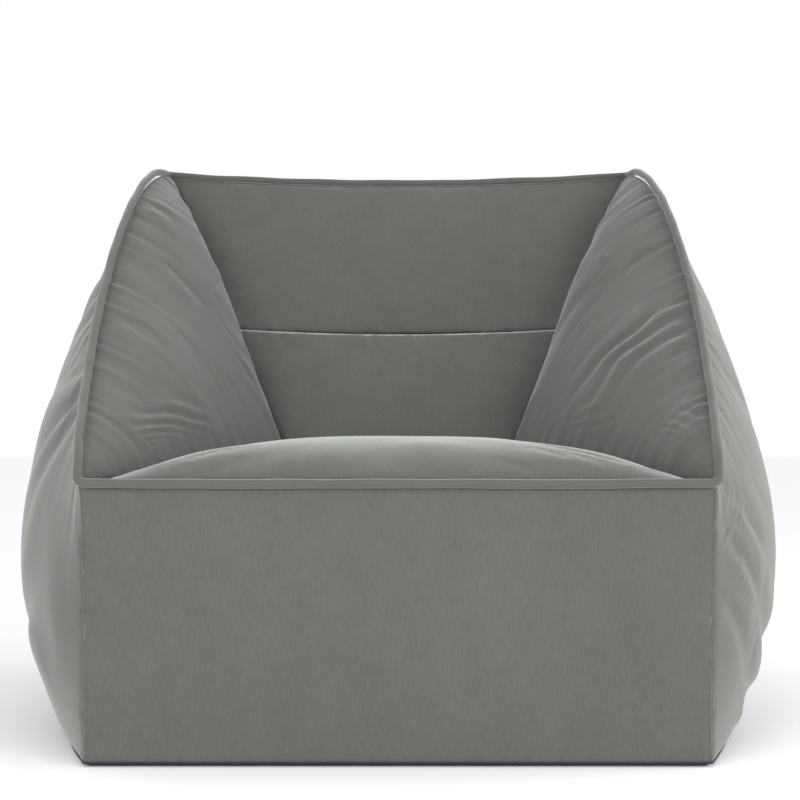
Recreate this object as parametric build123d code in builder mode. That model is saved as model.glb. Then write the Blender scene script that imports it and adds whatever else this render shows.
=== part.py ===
"""A bean bag armchair: a stitched cover of flat-cut panels, piped round its rim, over five bags of beads.

+X is the sitter's left, +Y the back and +Z up. The origin is the middle of the base, on the floor. Upright
dividers part the cover into a seat chamber, two arm chambers and a back chamber, and a baffle parts the back
chamber in two. Every chamber holds a lining bag full of beads. A zip without a pull tab closes a slit near
the foot of the back.

Every panel is cut out of a few soft blocks. Each block has one swollen face, drawn as sections at stations
along the chair, and a panel is a block less the same block moved inwards by the thickness of the cloth.
"""

import os
from math import cos, pi, radians, sin, tan

from build123d import *

# ------------------------------------------------------------------ driving sizes, mm
overall_width = 940.0  # across the swollen sides
overall_depth = 820.0  # front piping to the swollen back
front_height = 296.0  # floor to the seam along the front edge and round the seat
back_height = 710.0  # floor to the seam at the back corners
arm_start = 318.0  # floor to an arm's rim where it leaves the front corner
front_seam_width = 670.0  # between the two upright front seams, and the two at the back
rim_front_width = 680.0  # between the rim's front corners
rim_back_width = 664.0  # between the rim's back corners
rim_bow = 28.0  # how far each arm's rim bows outwards
base_bow = 60.0  # how far each side of the base bows outwards
swell_height = 240.0  # height at which the sides and the back are fullest
rim_sag = 12.0  # how far the rim dips across the back
rim_setback = 65.0  # rim's back run to the fullest point of the back
foot_setback = 40.0  # foot of the back to its fullest point
foot_band = 90.0  # flat, upright band at the foot of the back, where the zip lies
seat_depth = 480.0  # front panel to the seam between seat and backrest
seat_rear_width = 286.0  # length of that seam
seat_crown = 50.0  # rise of the seat above its seams
lumbar_height = 480.0  # floor to the seam across the backrest
lumbar_tuck = 10.0  # how deep that seam is drawn in
lumbar_drop = 50.0  # fall of the baffle from that seam to the outer back
backrest_crown = 22.0  # swell of each half of the backrest
arm_crown = 34.0  # swell of an arm's inner panel

# ------------------------------------------------------------------ cloth, cord and clearances, mm
cover_cloth = 2.0
liner_cloth = 1.0
divider_cloth = 1.0
layer_gap = 1.0  # between one layer of cloth and the next, and between a bag and its beads
edge_gap = 0.5  # between the edges of two panels at a seam
piping_diameter = 10.0
cord_diameter = 6.0
cord_gap = 0.3  # between the cord and its sleeve
piping_gap = 0.8  # between the piping and the panels it trims

# ------------------------------------------------------------------ zip, mm
zip_length = 520.0
zip_height = 50.0  # floor to the middle of the zip
zip_slot = 12.0  # height of the slit in the back panel
tape_width = 15.0
tape_cloth = 0.8
coil_size = 2.4  # height and depth of one row of coil
coil_gap = 1.6  # between the two rows, where the slider's neck runs
slider_length = 12.0
slider_wall = 1.2
slider_neck = 1.0
slider_gap = 0.3
stop_length = 4.0
garage_length = 24.0  # cloth loop that hides the parked slider
garage_height = 26.0
guard_height = 72.0  # inner flap behind the zip
zip_room = 14.0  # how far the lower lining bag keeps back from the cloth round the zip

# ------------------------------------------------------------------ places worked out from the sizes
piping_radius = piping_diameter / 2
piping_reach = piping_radius + piping_gap
front_y = -overall_depth / 2 + 2 * piping_radius
rim_back_y = overall_depth / 2 - rim_setback
foot_y = overall_depth / 2 - foot_setback
seat_rear_y = front_y + seat_depth
corner_half = front_seam_width / 2
seat_rear_half = seat_rear_width / 2
rim_front_half = rim_front_width / 2
rim_back_half = rim_back_width / 2
rest_lean = (rim_back_y - seat_rear_y) / (back_height - front_height)  # backrest's run for each unit of rise
rest_normal = (-1 / (1 + rest_lean**2) ** 0.5, rest_lean / (1 + rest_lean**2) ** 0.5)
liner_inset = cover_cloth + layer_gap
bead_inset = liner_inset + liner_cloth + layer_gap
divider_room = divider_cloth / 2 + layer_gap
depths = (liner_inset, liner_inset + liner_cloth, bead_inset)  # a bag's outside, its inside, its beads
zone_depths = (divider_room, divider_room + liner_cloth, divider_room + liner_cloth + layer_gap)
floors = (cover_cloth + layer_gap, cover_cloth + layer_gap + liner_cloth, bead_inset)
side_in = Vector(-1, 0, 0)  # the way inwards from the middle of each swollen face
rim_front, rim_end = Vector(rim_front_half, front_y, arm_start), Vector(rim_back_half, rim_back_y, back_height)
seat_corner = Vector(seat_rear_half, seat_rear_y, front_height)
arm_in = (seat_corner - rim_front).cross(rim_end - rim_front).normalized()
seat_in = Vector(0, 0.35, -0.94)
rest_in = Vector(0, -rest_normal[0], -rest_normal[1])
rear_in = Vector(0, -1, 0)
before_rest = seat_rear_y - 30  # in front of the backrest
far = 1.2 * max(overall_width, overall_depth) / 2  # beyond every side of the chair
sky = back_height + 100  # above it
rim_run = rim_back_y - front_y
side_stations = [front_y + rim_run * share for share in (0.134, 0.295, 0.456, 0.617, 0.779, 0.913)]
rest_stations = [corner_half * share for share in (-1.03, -0.746, -0.42, 0, 0.42, 0.746, 1.03)]


def arm_share(y):
    """0 up to the rim's front corner, 1 from its back corner on."""
    return min(1.0, max(0.0, (y - front_y) / rim_run))


def side_bow(y):
    """0 at the upright seams before and behind a side, 1 midway: a sine, filled out towards its ends."""
    wave = sin(pi * (y - front_y) / (foot_y - front_y))
    return wave * (1.3 - 0.3 * wave**2)


def rim_half(y):
    """Half the width between the arms' rims, which bow outwards as half a sine wave."""
    t = arm_share(y)
    return rim_front_half + (rim_back_half - rim_front_half) * t + rim_bow * sin(pi * t)


def rim_height(y):
    """Height of an arm's rim: a steady climb that levels off towards the back corner."""
    t = arm_share(y)
    return arm_start + (back_height - arm_start) * (t + 1.1 * t**3 * (1 - t))


def back_rim_height(x):
    """Height of the rim across the back, which sags as a parabola."""
    return back_height - rim_sag * (1 - min(1.0, abs(x) / rim_back_half) ** 2)


seat_taper = (seat_rear_half - corner_half + 8) / seat_depth  # change of the seat's half-width with depth


def valley(y):
    """Half-width and height of the seam between an arm and the seat, then between an arm and the backrest."""
    if y <= seat_rear_y:
        return corner_half - 8 + seat_taper * max(0.0, y - front_y), front_height
    share = min(1.0, (y - seat_rear_y) / (rim_back_y - seat_rear_y))
    half = seat_rear_half + (rim_back_half - 8 - seat_rear_half) * share
    return half, front_height + (back_height - 8 - front_height) * share


def side_block():
    """Everything inwards of the left side's outer face."""
    with BuildPart() as block:
        for y in (front_y - 40, front_y, *side_stations, rim_back_y, foot_y + 40):
            bow = side_bow(y)
            foot = corner_half + base_bow * bow
            swell = corner_half + (overall_width / 2 - corner_half) * bow
            rim, height = rim_half(y), rim_height(y)
            with BuildSketch(Plane.XZ.offset(-y)):
                with BuildLine():
                    Spline((foot - 10 * bow, -20), (foot, 0), (swell, swell_height), (rim, height))
                    Polyline((rim, height), (rim - 20 * bow, sky), (40, sky), (40, -20), (foot - 10 * bow, -20))
                make_face()
        loft()
    return block.part


def arm_block():
    """Everything under the left arm's inner face, from its rim down to the valley beside seat and backrest."""
    with BuildPart() as block:
        for y in (front_y - 40, front_y, *side_stations, rim_back_y, foot_y + 40):
            rim = Vector(rim_half(y), rim_height(y))
            low = Vector(*valley(y))
            along = (rim - low).normalized()
            out = Vector(-along.Y, along.X)
            rise = arm_crown * min(1.0, (rim - low).length / 250)
            with BuildSketch(Plane.XZ.offset(-y)):
                with BuildLine():
                    Spline(low - along * 12, low + (rim - low) * 0.5 + out * rise, rim)
                    end = rim + along * 60
                    Polyline(rim, end, (far, end.Y), (far, -20), (40, -20), (40, low.Y - 40), low - along * 12)
                make_face()
        loft()
    return block.part


def seat_block():
    """Everything under the seat's crowned top, which falls on past its side seams."""
    with BuildPart() as block:
        for along, share in (
            (-0.083, 0.05), (0, 0.14), (0.079, 0.74), (0.167, 0.94), (0.271, 1.0),
            (0.417, 0.99), (0.583, 0.9), (0.75, 0.7), (0.917, 0.4), (1.083, 0.15),
        ):
            y = front_y + seat_depth * along
            half, rise = corner_half - 8 + seat_taper * (y - front_y), seat_crown * share
            with BuildSketch(Plane.XZ.offset(-y)):
                with BuildLine():
                    crown = [
                        (half + 60, front_height - 1.4 * rise), (half, front_height + 0.02 * rise),
                        (half * 0.88, front_height + 0.5 * rise), (half * 0.7, front_height + 0.84 * rise),
                        (half * 0.4, front_height + 0.98 * rise), (0, front_height + rise),
                    ]
                    Spline(*[(-x, z) for x, z in crown], *crown[-2::-1])
                    Polyline(crown[0], (half + 60, -20), (-half - 60, -20), (-half - 60, crown[0][1]))
                make_face()
        loft()
    return block.part


def rest_block():
    """Everything behind the backrest's two crowned halves."""
    with BuildPart() as block:
        for x in rest_stations:
            top_z = back_rim_height(x) if abs(x) <= rim_back_half else back_height
            mid_y = seat_rear_y + rest_lean * (lumbar_height - front_height)
            bottom, middle = Vector(seat_rear_y, front_height), Vector(mid_y, lumbar_height)
            top = Vector(rim_back_y, top_z)
            out = Vector(*rest_normal)
            middle = middle - out * lumbar_tuck * cos(pi * x / corner_half / 2.4)
            low_rise = backrest_crown * max(0.0, 1 - (x / corner_half / 0.746) ** 2)
            high_rise = backrest_crown * max(0.0, 1 - (x / corner_half / 0.985) ** 2)
            low_bulge, high_bulge = (bottom + middle) * 0.5 + out * low_rise, (middle + top) * 0.5 + out * high_rise
            with BuildSketch(Plane.YZ.offset(x)):
                with BuildLine():
                    Spline(bottom, low_bulge, middle)
                    Spline(middle, high_bulge, top)
                    end = top + (top - high_bulge).normalized() * 60
                    Polyline(top, end, (far, end.Y), (far, -20), (bottom.X, -20), bottom)
                make_face()
        loft()
    return block.part


def rear_block(room):
    """Everything in front of the outer back, its foot moved in by room."""
    with BuildPart() as block:
        for x in rest_stations:
            fullness = max(0.0, cos(pi * x / 2 / corner_half)) if abs(x) < corner_half else 0.0
            foot, rim, height = foot_y - room, rim_back_y, back_rim_height(x)
            lean = foot_y - (foot_y - rim_back_y) * (swell_height - foot_band) / (height - foot_band)
            swell = lean + (overall_depth / 2 - lean) * fullness
            upper = Vector(swell - 0.215 * rim_setback * fullness, swell_height + 0.44 * (height - swell_height))
            with BuildSketch(Plane.YZ.offset(x)):
                with BuildLine():
                    Spline((foot, foot_band), (swell, swell_height), upper, (rim, height))
                    Polyline((rim, height), (rim - 6, sky), (before_rest, sky), (before_rest, -20), (foot, -20))
                    Line((foot, -20), (foot, foot_band))
                make_face()
        loft()
    return block.part


def prism(points, inset=0.0):
    """An upright prism over a plan outline moved in by inset."""
    with BuildPart() as block:
        with BuildSketch(Plane.XY.offset(-10)):
            with BuildLine():
                Polyline(*points, close=True)
            make_face()
            if inset:
                offset(amount=-inset, kind=Kind.INTERSECTION)
        extrude(amount=sky)
    return block.part


def profile(points):
    """A side-view outline run right across the chair."""
    with BuildPart() as block:
        with BuildSketch(Plane.YZ):
            with BuildLine():
                Polyline(*points, close=True)
            make_face()
        extrude(amount=far, both=True)
    return block.part


seat_zone = [
    (-corner_half, front_y - 20), (corner_half, front_y - 20), (corner_half, front_y),
    (seat_rear_half, seat_rear_y), (-seat_rear_half, seat_rear_y), (-corner_half, front_y),
]
arm_zone = [
    (corner_half, front_y), (seat_rear_half, seat_rear_y), (corner_half, foot_y), (far, foot_y), (far, front_y),
]
back_zone = [
    (-seat_rear_half, seat_rear_y), (seat_rear_half, seat_rear_y), (corner_half, foot_y),
    (corner_half, far), (-corner_half, far), (-corner_half, foot_y),
]


def between_ends(inset, floor):
    """Above the floor and between the front panel and the upright back corners, moved in by inset."""
    return profile([
        (front_y + inset, floor), (foot_y - inset, floor), (foot_y - inset, foot_band),
        (rim_back_y - inset, back_height), (rim_back_y - inset, sky), (front_y + inset, sky),
    ])


def lumbar_line(y, lift):
    """Height of the baffle's plane at depth y, lifted by lift."""
    seam_y = seat_rear_y + rest_lean * (lumbar_height - front_height)
    return lumbar_height + lift - lumbar_drop * (y - seam_y) / (overall_depth / 2 - seam_y)


def lumbar_half(lift, upper):
    """The half of the back above or below the baffle's plane."""
    edge = [(before_rest, lumbar_line(before_rest, lift)), (far, lumbar_line(far, lift))]
    end = sky if upper else -20
    return profile([*edge, (far, end), (before_rest, end)])


# ------------------------------------------------------------------ cover: outer panels
side_face, arm_face, seat_face = side_block(), arm_block(), seat_block()
rest_face, rear_face = rest_block(), rear_block(0)
under_cover = cover_cloth + edge_gap
panel_bottom = cover_cloth + edge_gap
side_ends = between_ends(cover_cloth + edge_gap, panel_bottom)
seam_bottom = front_height - cover_cloth
above_seam = profile([(front_y, seam_bottom), (seat_rear_y, seam_bottom), (seat_rear_y, sky), (front_y, sky)])
above_rest = profile([(before_rest, front_height), (far, front_height), (far, sky), (before_rest, sky)])
above_base = profile([(seat_rear_y, panel_bottom), (far, panel_bottom), (far, sky), (seat_rear_y, sky)])

with BuildPart() as left_side_panel:
    add(side_ends)
    with Locations(arm_in * under_cover):
        add(arm_face, mode=Mode.INTERSECT)
    add(side_face, mode=Mode.INTERSECT)
    with Locations(side_in * cover_cloth):
        add(side_face, mode=Mode.SUBTRACT)

with BuildPart() as left_arm_panel:
    add(prism(arm_zone, edge_gap / 2))
    add(side_ends, mode=Mode.INTERSECT)
    add(side_face, mode=Mode.INTERSECT)
    add(arm_face, mode=Mode.INTERSECT)
    with Locations(arm_in * cover_cloth):
        add(arm_face, mode=Mode.SUBTRACT)

with BuildPart() as seat_panel:
    add(prism(seat_zone, edge_gap / 2))
    add(above_seam, mode=Mode.INTERSECT)
    add(seat_face, mode=Mode.INTERSECT)
    with Locations(seat_in * cover_cloth):
        add(seat_face, mode=Mode.SUBTRACT)

with BuildPart() as front_panel:
    with BuildSketch(Plane.XZ.offset(-front_y)):
        with Locations((0, (seam_bottom - edge_gap + panel_bottom) / 2)):
            Rectangle(front_seam_width, seam_bottom - edge_gap - panel_bottom)
    extrude(amount=-cover_cloth)

with BuildPart() as back_panel:
    add(above_base)
    with Locations((0, foot_y, 0)):
        Box(front_seam_width, front_seam_width, 2 * sky, mode=Mode.INTERSECT)
    with Locations(rest_in * under_cover):
        add(rest_face, mode=Mode.INTERSECT)
    add(rear_face, mode=Mode.INTERSECT)
    with Locations(rear_in * cover_cloth):
        add(rear_face, mode=Mode.SUBTRACT)
    with Locations((0, foot_y, zip_height)):
        Box(zip_length, 20, zip_slot, mode=Mode.SUBTRACT)

with BuildPart() as upper_backrest_panel:
    add(prism(back_zone, edge_gap / 2))
    add(lumbar_half(edge_gap / 2, True), mode=Mode.INTERSECT)
    add(rest_face, mode=Mode.INTERSECT)
    add(rear_face, mode=Mode.INTERSECT)
    with Locations(rest_in * cover_cloth):
        add(rest_face, mode=Mode.SUBTRACT)

with BuildPart() as lower_backrest_panel:
    add(prism(back_zone, edge_gap / 2))
    add(lumbar_half(-edge_gap / 2, False), mode=Mode.INTERSECT)
    add(above_rest, mode=Mode.INTERSECT)
    add(rest_face, mode=Mode.INTERSECT)
    with Locations(rest_in * cover_cloth):
        add(rest_face, mode=Mode.SUBTRACT)

with BuildPart() as base_panel:
    with BuildSketch():
        with BuildLine():
            for side in (-1, 1):
                Spline(*[
                    (side * (corner_half + base_bow * side_bow(y)), y)
                    for y in (front_y, *side_stations, foot_y)
                ])
            Line((-corner_half, front_y), (corner_half, front_y))
            Line((-corner_half, foot_y), (corner_half, foot_y))
        make_face()
    extrude(amount=cover_cloth)

with BuildPart() as right_side_panel:
    mirror(left_side_panel.part, about=Plane.YZ)

with BuildPart() as right_arm_panel:
    mirror(left_arm_panel.part, about=Plane.YZ)

# ------------------------------------------------------------------ piping round the rim, and the cord in it
piping_y, piping_z = front_y - piping_radius, front_height + 2
corner_x = rim_front_half + piping_radius
back_top = back_height + piping_reach
run_y = [front_y + rim_run * share for share in (*[0.0805 * n for n in range(1, 12)], 0.942)]
back_run = (0.723 * rim_back_half, 0.422 * rim_back_half)
rim_climb = (1 + ((back_height - arm_start) / rim_run) ** 2) ** 0.5  # rim's length for each unit of depth
route = [
    (0, piping_y, piping_z),
    (corner_x - 6, piping_y - 0.3, piping_z),
    (corner_x + 1, piping_y + 0.5, arm_start + piping_reach),
    *[(rim_half(y) + 1.5, y, rim_height(y) + piping_reach * rim_climb + 0.8) for y in run_y],
    (rim_back_half + 3, rim_back_y - 9, back_top + 0.6),
    (rim_back_half - 9, rim_back_y + 1, back_top),
    *[(x, rim_back_y + 0.5, back_rim_height(x) + piping_reach + 0.3) for x in back_run],
    (0.15 * rim_back_half, rim_back_y + 0.5, back_rim_height(0) + piping_reach + 0.3),
    (0, rim_back_y + 0.5, back_rim_height(0) + piping_reach + 0.3),
]


def bend_radii(points):
    """The largest arc that each corner's two runs leave room for: 0.45 of the shorter over tan of half the turn."""
    radii = []
    for before, here, after in zip(points, points[1:], points[2:]):
        run_in, run_out = Vector(*here) - Vector(*before), Vector(*after) - Vector(*here)
        half_turn = radians(run_in.get_angle(run_out)) / 2
        radii.append(0.45 * min(run_in.length, run_out.length) / tan(half_turn))
    return radii


with BuildLine() as half_loop:
    FilletPolyline(*route, radius=bend_radii(route))

with BuildPart() as left_piping:
    with BuildSketch(Plane.YZ):
        with Locations((piping_y, piping_z)):
            Circle(piping_radius)
            Circle(cord_diameter / 2 + cord_gap, mode=Mode.SUBTRACT)
    sweep(path=half_loop.wire())

with BuildPart() as left_cord:
    with BuildSketch(Plane.YZ):
        with Locations((piping_y, piping_z)):
            Circle(cord_diameter / 2)
    sweep(path=half_loop.wire())

with BuildPart() as rim_piping:
    add(left_piping.part)
    mirror(left_piping.part, about=Plane.YZ)

with BuildPart() as rim_piping_cord:
    add(left_cord.part)
    mirror(left_cord.part, about=Plane.YZ)

# ------------------------------------------------------------------ dividers and baffle inside the cover
divider_top = front_height - cover_cloth - edge_gap
hem = 6 * (1 + 1 / rest_lean**2) ** 0.5  # a divider stops this far under the backrest's seam, clear of its panels
back_end = 12.0  # and this far from an upright seam
under_seam = profile([
    (front_y, floors[0]), (seat_rear_y, floors[0]), (seat_rear_y, divider_top), (front_y, divider_top),
])
under_rest = profile([
    (seat_rear_y, floors[0]), (foot_y, floors[0]), (foot_y, foot_band), (rim_back_y - 4, back_height - 40),
    (rim_back_y - 14, valley(rim_back_y - 14)[1] - hem), (seat_rear_y, front_height - hem),
])


def strip(start, end):
    """Plan outline of an upright divider of cloth from start, at an upright seam, to end, at the seat's."""
    run = (Vector(*end) - Vector(*start)).normalized()
    side = Vector(-run.Y, run.X) * divider_cloth / 2
    first, last = Vector(*start) + run * back_end, Vector(*end) - run * 4
    return [(p.X, p.Y) for p in (first + side, first - side, last - side, last + side)]


with BuildPart() as left_arm_divider:
    add(prism(strip((corner_half, front_y), (seat_rear_half, seat_rear_y))))
    add(under_seam, mode=Mode.INTERSECT)

with BuildPart() as left_back_divider:
    add(prism(strip((corner_half, foot_y), (seat_rear_half, seat_rear_y))))
    add(under_rest, mode=Mode.INTERSECT)

with BuildPart() as right_arm_divider:
    mirror(left_arm_divider.part, about=Plane.YZ)

with BuildPart() as right_back_divider:
    mirror(left_back_divider.part, about=Plane.YZ)

with BuildPart() as seat_back_divider:
    with BuildSketch(Plane.XZ.offset(-seat_rear_y - divider_cloth / 2)):
        with Locations((0, (floors[0] + divider_top) / 2)):
            Rectangle(seat_rear_width - 6, divider_top - floors[0])
    extrude(amount=divider_cloth)

# ------------------------------------------------------------------ lining bags and the beads in them
low_rear_face = rear_block(zip_room)
end_walls = [between_ends(cover_cloth + d, f) for d, f in zip(zone_depths, floors)]
arm_plans, seat_plans, back_plans = [[prism(z, d) for d in zone_depths] for z in (arm_zone, seat_zone, back_zone)]
upper_halves = [lumbar_half(d, True) for d in zone_depths]
lower_halves = [lumbar_half(-d, False) for d in zone_depths]


def chamber(faces, walls):
    """What is left inside the swollen faces and the flat walls: a bag's outside, its inside, and its beads."""
    rooms = []
    for layer, depth in enumerate(depths):
        with BuildPart() as room:
            add(walls[0][layer])
            for wall in walls[1:]:
                add(wall[layer], mode=Mode.INTERSECT)
            for face, inwards in faces:
                with Locations(inwards * depth):
                    add(face, mode=Mode.INTERSECT)
        rooms.append(room.part)
    return rooms


arm_room = chamber([(arm_face, arm_in), (side_face, side_in)], [arm_plans, end_walls])
seat_room = chamber([(seat_face, seat_in)], [seat_plans, end_walls])
upper_room = chamber([(rest_face, rest_in), (rear_face, rear_in)], [back_plans, upper_halves, end_walls])
lower_room = chamber([(rest_face, rest_in), (low_rear_face, rear_in)], [back_plans, lower_halves, end_walls])

with BuildPart() as left_arm_liner:
    add(arm_room[0])
    add(arm_room[1], mode=Mode.SUBTRACT)

with BuildPart() as left_arm_beads:
    add(arm_room[2])

with BuildPart() as right_arm_liner:
    mirror(left_arm_liner.part, about=Plane.YZ)

with BuildPart() as right_arm_beads:
    mirror(left_arm_beads.part, about=Plane.YZ)

with BuildPart() as seat_liner:
    add(seat_room[0])
    add(seat_room[1], mode=Mode.SUBTRACT)

with BuildPart() as seat_beads:
    add(seat_room[2])

with BuildPart() as upper_back_liner:
    add(upper_room[0])
    add(upper_room[1], mode=Mode.SUBTRACT)

with BuildPart() as upper_back_beads:
    add(upper_room[2])

with BuildPart() as lower_back_liner:
    add(lower_room[0])
    add(lower_room[1], mode=Mode.SUBTRACT)

with BuildPart() as lower_back_beads:
    add(lower_room[2])

seam_y = seat_rear_y + rest_lean * (lumbar_height - front_height)
baffle_front, baffle_rear = seam_y + 14, overall_depth / 2 - 20
half_cloth = divider_cloth / 2
with BuildPart() as lumbar_baffle:
    add(profile([
        (baffle_front, lumbar_line(baffle_front, -half_cloth)), (baffle_rear, lumbar_line(baffle_rear, -half_cloth)),
        (baffle_rear, lumbar_line(baffle_rear, half_cloth)), (baffle_front, lumbar_line(baffle_front, half_cloth)),
    ]))
    add(back_plans[0], mode=Mode.INTERSECT)
    with Locations(rear_in * liner_inset):
        add(rear_face, mode=Mode.INTERSECT)

# ------------------------------------------------------------------ zip at the foot of the back
inner_face = foot_y - cover_cloth
tape_face = inner_face - edge_gap  # tapes lie against the inside of the cover
coil_offset = (coil_gap + coil_size) / 2
tape_offset = coil_gap / 2 + tape_width / 2
tape_length = zip_length + 24
coil_y = tape_face + coil_size / 2
slider_reach = coil_gap / 2 + coil_size + slider_gap + slider_wall  # half the slider's height
park_x = zip_length / 2 - stop_length - slider_length / 2 - 1

with BuildPart() as zip_upper_tape:
    with Locations((0, tape_face - tape_cloth / 2, zip_height + tape_offset)):
        Box(tape_length, tape_cloth, tape_width)

with BuildPart() as zip_lower_tape:
    with Locations((0, tape_face - tape_cloth / 2, zip_height - tape_offset)):
        Box(tape_length, tape_cloth, tape_width)

with BuildPart() as zip_upper_coil:
    with Locations((0, coil_y, zip_height + coil_offset)):
        Box(zip_length - 2 * stop_length, coil_size, coil_size)

with BuildPart() as zip_lower_coil:
    with Locations((0, coil_y, zip_height - coil_offset)):
        Box(zip_length - 2 * stop_length, coil_size, coil_size)

with BuildPart() as zip_left_stop:
    with Locations(((zip_length - stop_length) / 2, coil_y, zip_height)):
        Box(stop_length - 0.4, coil_size, coil_gap + 2 * coil_size)

with BuildPart() as zip_right_stop:
    mirror(zip_left_stop.part, about=Plane.YZ)

top_plate_y = tape_face + coil_size + slider_gap
low_plate_y = tape_face - tape_cloth - slider_gap
lip_end = tape_face + slider_gap
with BuildPart() as zip_slider:
    with BuildSketch(Plane.YZ.offset(park_x - slider_length / 2)):
        with Locations((top_plate_y + slider_wall / 2, zip_height), (low_plate_y - slider_wall / 2, zip_height)):
            Rectangle(slider_wall, 2 * slider_reach)
        with Locations(((top_plate_y + low_plate_y) / 2, zip_height)):
            Rectangle(top_plate_y - low_plate_y, slider_neck)
        with Locations(*[
            ((top_plate_y + lip_end) / 2, zip_height + side * (slider_reach - slider_wall / 2)) for side in (-1, 1)
        ]):
            Rectangle(top_plate_y - lip_end, slider_wall)
    extrude(amount=slider_length)
    fillet(zip_slider.edges().filter_by(Axis.Y).group_by(Axis.Y)[-1], 1.0)

garage_room = top_plate_y + slider_wall + 0.6
garage_x = zip_length / 2 - garage_length + 6
with BuildPart() as zip_garage:
    with BuildSketch(Plane.YZ.offset(garage_x)):
        with Locations(((foot_y + 0.1 + garage_room + liner_cloth) / 2, zip_height)):
            Rectangle(garage_room + liner_cloth - foot_y - 0.1, garage_height)
            Rectangle(garage_room + liner_cloth - foot_y - 0.1, garage_height - 8, mode=Mode.SUBTRACT)
        with Locations((garage_room + liner_cloth / 2, zip_height)):
            Rectangle(liner_cloth, garage_height)
    extrude(amount=garage_length)
    fillet(zip_garage.edges().filter_by(Axis.X).group_by(Axis.Y)[-1], 0.9)

guard_y = low_plate_y - slider_wall - 0.6
with BuildPart() as zip_guard_flap:
    with Locations((0, guard_y - liner_cloth / 2, zip_height)):
        Box(tape_length, liner_cloth, guard_height)

# ------------------------------------------------------------------ one file for each piece
pieces = {
    "front_panel": front_panel,
    "left_side_panel": left_side_panel,
    "right_side_panel": right_side_panel,
    "back_panel": back_panel,
    "base_panel": base_panel,
    "seat_panel": seat_panel,
    "left_arm_panel": left_arm_panel,
    "right_arm_panel": right_arm_panel,
    "upper_backrest_panel": upper_backrest_panel,
    "lower_backrest_panel": lower_backrest_panel,
    "rim_piping": rim_piping,
    "rim_piping_cord": rim_piping_cord,
    "left_arm_divider": left_arm_divider,
    "right_arm_divider": right_arm_divider,
    "left_back_divider": left_back_divider,
    "right_back_divider": right_back_divider,
    "seat_back_divider": seat_back_divider,
    "lumbar_baffle": lumbar_baffle,
    "seat_liner": seat_liner,
    "left_arm_liner": left_arm_liner,
    "right_arm_liner": right_arm_liner,
    "upper_back_liner": upper_back_liner,
    "lower_back_liner": lower_back_liner,
    "seat_beads": seat_beads,
    "left_arm_beads": left_arm_beads,
    "right_arm_beads": right_arm_beads,
    "upper_back_beads": upper_back_beads,
    "lower_back_beads": lower_back_beads,
    "zip_upper_tape": zip_upper_tape,
    "zip_lower_tape": zip_lower_tape,
    "zip_upper_coil": zip_upper_coil,
    "zip_lower_coil": zip_lower_coil,
    "zip_left_stop": zip_left_stop,
    "zip_right_stop": zip_right_stop,
    "zip_slider": zip_slider,
    "zip_garage": zip_garage,
    "zip_guard_flap": zip_guard_flap,
}

os.makedirs("parts", exist_ok=True)
for name, piece in pieces.items():
    piece.part.label = name
    export_step(piece.part, f"parts/{name}.step")
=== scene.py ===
# %% [markdown]
# # A bean bag armchair in velvet
# The real chair is a sewn cover pulled tight by loose beads. Ten flat panels meet at seams, a piped rim
# runs round the arms, the back and the front edge, and a zip lies low on the back. This lesson draws the
# network of seams first, fills it with panels, seeds low folds in them, lets a cloth simulation blow them
# out, and then adds the puckers, piping, zip and finishes. Everything is in metres: +X is the sitter's
# left, +Y the back, +Z up.

# %% Load the fixed frame
import math

import bmesh
import bpy
import numpy as np
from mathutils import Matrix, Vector


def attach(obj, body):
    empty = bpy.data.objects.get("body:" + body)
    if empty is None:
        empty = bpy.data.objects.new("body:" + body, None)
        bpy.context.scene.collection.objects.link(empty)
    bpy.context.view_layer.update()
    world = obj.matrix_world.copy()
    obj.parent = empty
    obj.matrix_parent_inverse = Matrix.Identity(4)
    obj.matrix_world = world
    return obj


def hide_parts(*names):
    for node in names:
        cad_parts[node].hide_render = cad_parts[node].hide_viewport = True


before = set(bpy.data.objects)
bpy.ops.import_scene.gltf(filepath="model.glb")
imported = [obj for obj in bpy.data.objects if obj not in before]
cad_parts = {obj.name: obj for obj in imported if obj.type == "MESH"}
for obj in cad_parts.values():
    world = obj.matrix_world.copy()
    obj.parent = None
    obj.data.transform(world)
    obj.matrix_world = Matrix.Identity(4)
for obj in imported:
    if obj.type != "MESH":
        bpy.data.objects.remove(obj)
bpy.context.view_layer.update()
scene = bpy.context.scene

# %% [markdown]
# ## The camera
# The camera is level and in front of the chair, just over two metres off and a little higher than the seat.
# A long lens keeps the front panel nearly free of perspective, while the arms still draw in towards the back.

# %% Camera
camera_data = bpy.data.cameras.new("front_camera")
camera_data.lens = 86.0
camera_data.sensor_width = 36.0
camera_data.shift_x = 0.0025
camera_data.shift_y = -0.0113
camera = bpy.data.objects.new("front_camera", camera_data)
scene.collection.objects.link(camera)
camera.location = (0.0, -2.43, 0.40)
camera.rotation_euler = (math.radians(90), 0, 0)
scene.camera = camera
print("camera", tuple(camera.location), "lens", camera_data.lens)

# %% [markdown]
# ## The network of seams
# A sewn cover is decided by its seams, so the seams come first, as curves in space. Each one is a short
# formula of the depth y, worked out for a whole array of depths at once. Panels that share a seam copy the
# same points, so the cover has no gaps.

# %% Seam curves
FRONT, SEAT_REAR, RIM_BACK, FOOT = -0.400, 0.080, 0.345, 0.370
SEAT_Z, BACK_Z, LUMBAR_Z = 0.296, 0.710, 0.487
ACROSS, UP = 72, 66  # cells across the chair, and from the floor to the rim


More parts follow.
